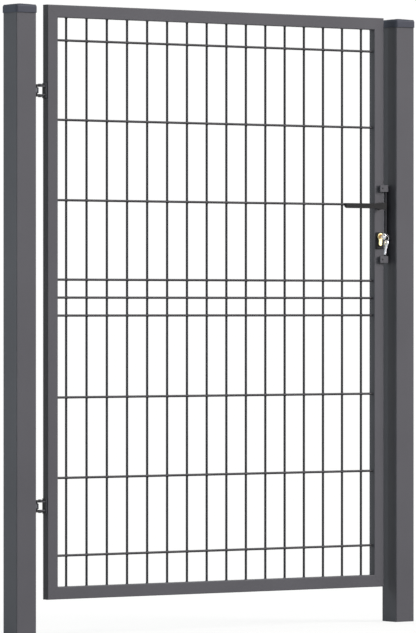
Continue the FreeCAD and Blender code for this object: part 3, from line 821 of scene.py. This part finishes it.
# Camera at the photo's angle, a long lens at hip height, level but for a tenth of a degree.
view = {
    "place": (-7.2795, -10.817, 0.823),
    "turn": 36.0,
    "pitch": -0.098,
    "lens": 297.6,
}
camera = bpy.data.objects.new("camera", bpy.data.cameras.new("camera"))
bpy.context.scene.collection.objects.link(camera)
camera.location = view["place"]
camera.rotation_euler = (math.radians(90 + view["pitch"]), 0, math.radians(-view["turn"]))
camera.data.lens = view["lens"]
camera.data.sensor_width = 36
camera.data.clip_end = 400
bpy.context.scene.camera = camera

# Soft studio: a pale room, a broad light from the right of the front, a faint fill from the left of
# it, an even light from above, and a lit panel close behind the left, which the hinge post keeps
# off the leaf's side.
studio = {
    "backdrop": 1.01,    # strength of the white that the camera sees
    "room": 0.76,        # strength of the light that comes from all round
    "roomTint": (0.94, 1.0, 1.0, 1),
    "lights": {          # strength, softness in degrees, direction from the object to the light, colour
        "rightLight": (3.9, 35, (0.69, -0.58, 0.42), (1.0, 0.93, 0.94)),
        "leftFill": (0.25, 25, (-0.8, -0.58, 0.1), (0.94, 1.0, 1.0)),
        "above": (0.9, 60, (0, 0, 1), (1.0, 1.0, 1.0)),
    },
    "panelLight": {
        "place": (-2.7, 0.87, 0.95), "aim": (0, 0, 0.85), "size": 0.7,
        "watts": 29, "colour": (0.88, 1.0, 1.04),
    },
    "floorRadius": 150,   # metres
    "floor": "#d2d2d0",
    "floorShadow": 0.22,  # how much of the floor takes light and shadow, the rest glows evenly
    "glow": 1.01,
    "bounce": "#a8a8a6",  # what the floor sends back to the object, so that undersides stay dark
}
white = (1, 1, 1, 1)
world = bpy.data.worlds.new("studio")
bpy.context.scene.world = world
world.use_nodes = True
tree = world.node_tree
tree.nodes.clear()
seen = addNode(tree, "ShaderNodeLightPath").outputs["Is Camera Ray"]
room = addNode(tree, "ShaderNodeBackground", {"Color": studio["roomTint"], "Strength": studio["room"]})
backdrop = addNode(tree, "ShaderNodeBackground", {"Color": white, "Strength": studio["backdrop"]})
air = addNode(tree, "ShaderNodeMixShader", {0: seen, 1: room.outputs[0], 2: backdrop.outputs[0]})
addNode(tree, "ShaderNodeOutputWorld", {"Surface": air.outputs[0]})
for name, (strength, softness, way, colour) in studio["lights"].items():
    light = bpy.data.objects.new(name, bpy.data.lights.new(name, "SUN"))
    bpy.context.scene.collection.objects.link(light)
    light.data.energy = strength
    light.data.color = colour
    light.data.angle = math.radians(softness)
    light.rotation_euler = (-Vector(way)).to_track_quat("-Z", "Y").to_euler()
lamp = studio["panelLight"]
light = bpy.data.objects.new("panelLight", bpy.data.lights.new("panelLight", "AREA"))
bpy.context.scene.collection.objects.link(light)
light.data.size = lamp["size"]
light.data.energy = lamp["watts"]
light.data.color = lamp["colour"]
light.location = lamp["place"]
light.rotation_euler = (Vector(lamp["aim"]) - Vector(lamp["place"])).to_track_quat("-Z", "Y").to_euler()
light.visible_camera = False
letGo()
bpy.ops.mesh.primitive_circle_add(vertices=96, radius=studio["floorRadius"], fill_type="NGON")
floor = named("floor")
floorPaint = bpy.data.materials.new("paleStudioFloor")
floorPaint.use_nodes = True
tree = floorPaint.node_tree
tree.nodes.clear()
seen = addNode(tree, "ShaderNodeLightPath").outputs["Is Camera Ray"]
dull = addNode(tree, "ShaderNodeBsdfDiffuse", {"Color": linear(studio["bounce"])})
lit = addNode(tree, "ShaderNodeBsdfDiffuse", {"Color": linear(studio["floor"])})
glow = addNode(tree, "ShaderNodeEmission", {"Color": white, "Strength": studio["glow"]})
pale = addNode(tree, "ShaderNodeMixShader", {
    0: studio["floorShadow"], 1: glow.outputs[0], 2: lit.outputs[0],
})
paint = addNode(tree, "ShaderNodeMixShader", {0: seen, 1: dull.outputs[0], 2: pale.outputs[0]})
addNode(tree, "ShaderNodeOutputMaterial", {"Surface": paint.outputs[0]})
floor.data.materials.append(floorPaint)
bpy.context.scene.view_settings.view_transform = "Standard"
print("camera, lights and floor set")
